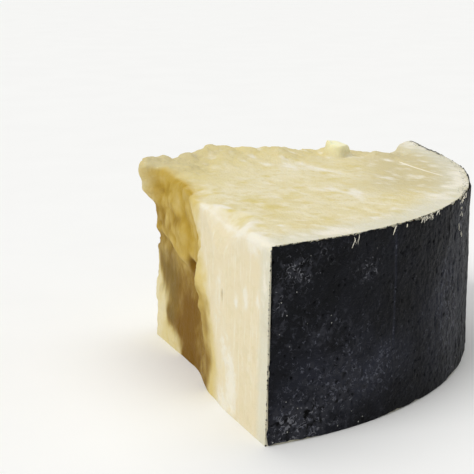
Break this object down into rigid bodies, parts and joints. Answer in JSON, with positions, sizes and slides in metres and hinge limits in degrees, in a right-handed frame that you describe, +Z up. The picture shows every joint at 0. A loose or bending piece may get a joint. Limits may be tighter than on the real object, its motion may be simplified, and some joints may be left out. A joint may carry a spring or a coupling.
{
  "type": "hard cheese quarter",
  "caption": "Quarter of a sliced black-coated hard cheese wheel, with a broken hollow by the tip, crumbly back and flat base.",
  "frame": {"origin": "middle of the foot of the box around the quarter, on its flat base", "axes": "+Z up from the sawn base, the shortest way; +Y along the longest way, from the front corner of the rind to its back corner; +X from the tip out to the rind"},
  "size_m": [0.147, 0.1982, 0.0835],
  "materials": {
    "cheese_paste": "pale straw aged cheese paste, cut smooth and broken rough, slightly waxy",
    "rind_coat": "thin charcoal black rind coat, pitted, scuffed, satin"
  },
  "bodies": {
    "root": {"cheese_quarter": "cheese_paste"}
  },
  "joints": []
}
